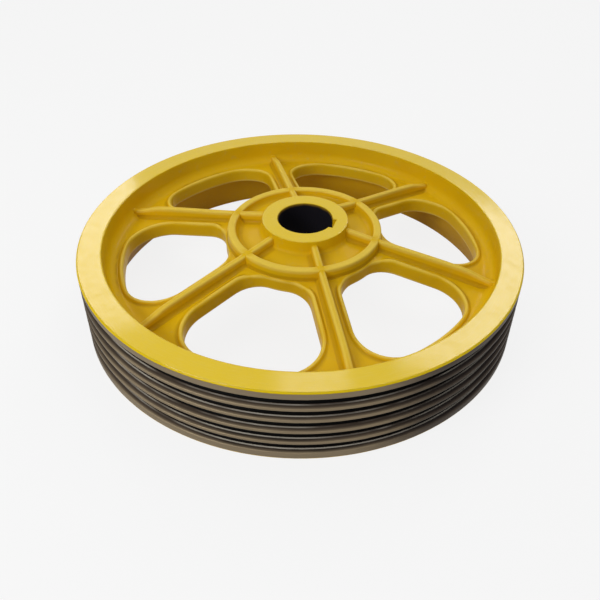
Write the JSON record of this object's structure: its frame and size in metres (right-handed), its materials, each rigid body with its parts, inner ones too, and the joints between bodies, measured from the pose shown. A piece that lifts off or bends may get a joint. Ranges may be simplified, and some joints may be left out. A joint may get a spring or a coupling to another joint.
{
  "type": "wire rope sheave",
  "caption": "Multi-groove wire rope drive sheave: a wide grooved rim on a dished, ribbed web with windows and a keyed hub.",
  "frame": {"origin": "on the bore axis, in the plane of the lower rim face, on which the sheave lies", "axes": "+Z is the bore axis, out of the ribbed face; +X runs along one spoke, over the keyway"},
  "size_m": [0.53, 0.53, 0.1135],
  "materials": {
    "yellow_painted_iron": "cast iron under semi-gloss yellow paint; the turned rim, its lands and the rope grooves are bare dark iron"
  },
  "bodies": {
    "root": {"sheave": "yellow_painted_iron"}
  },
  "joints": []
}
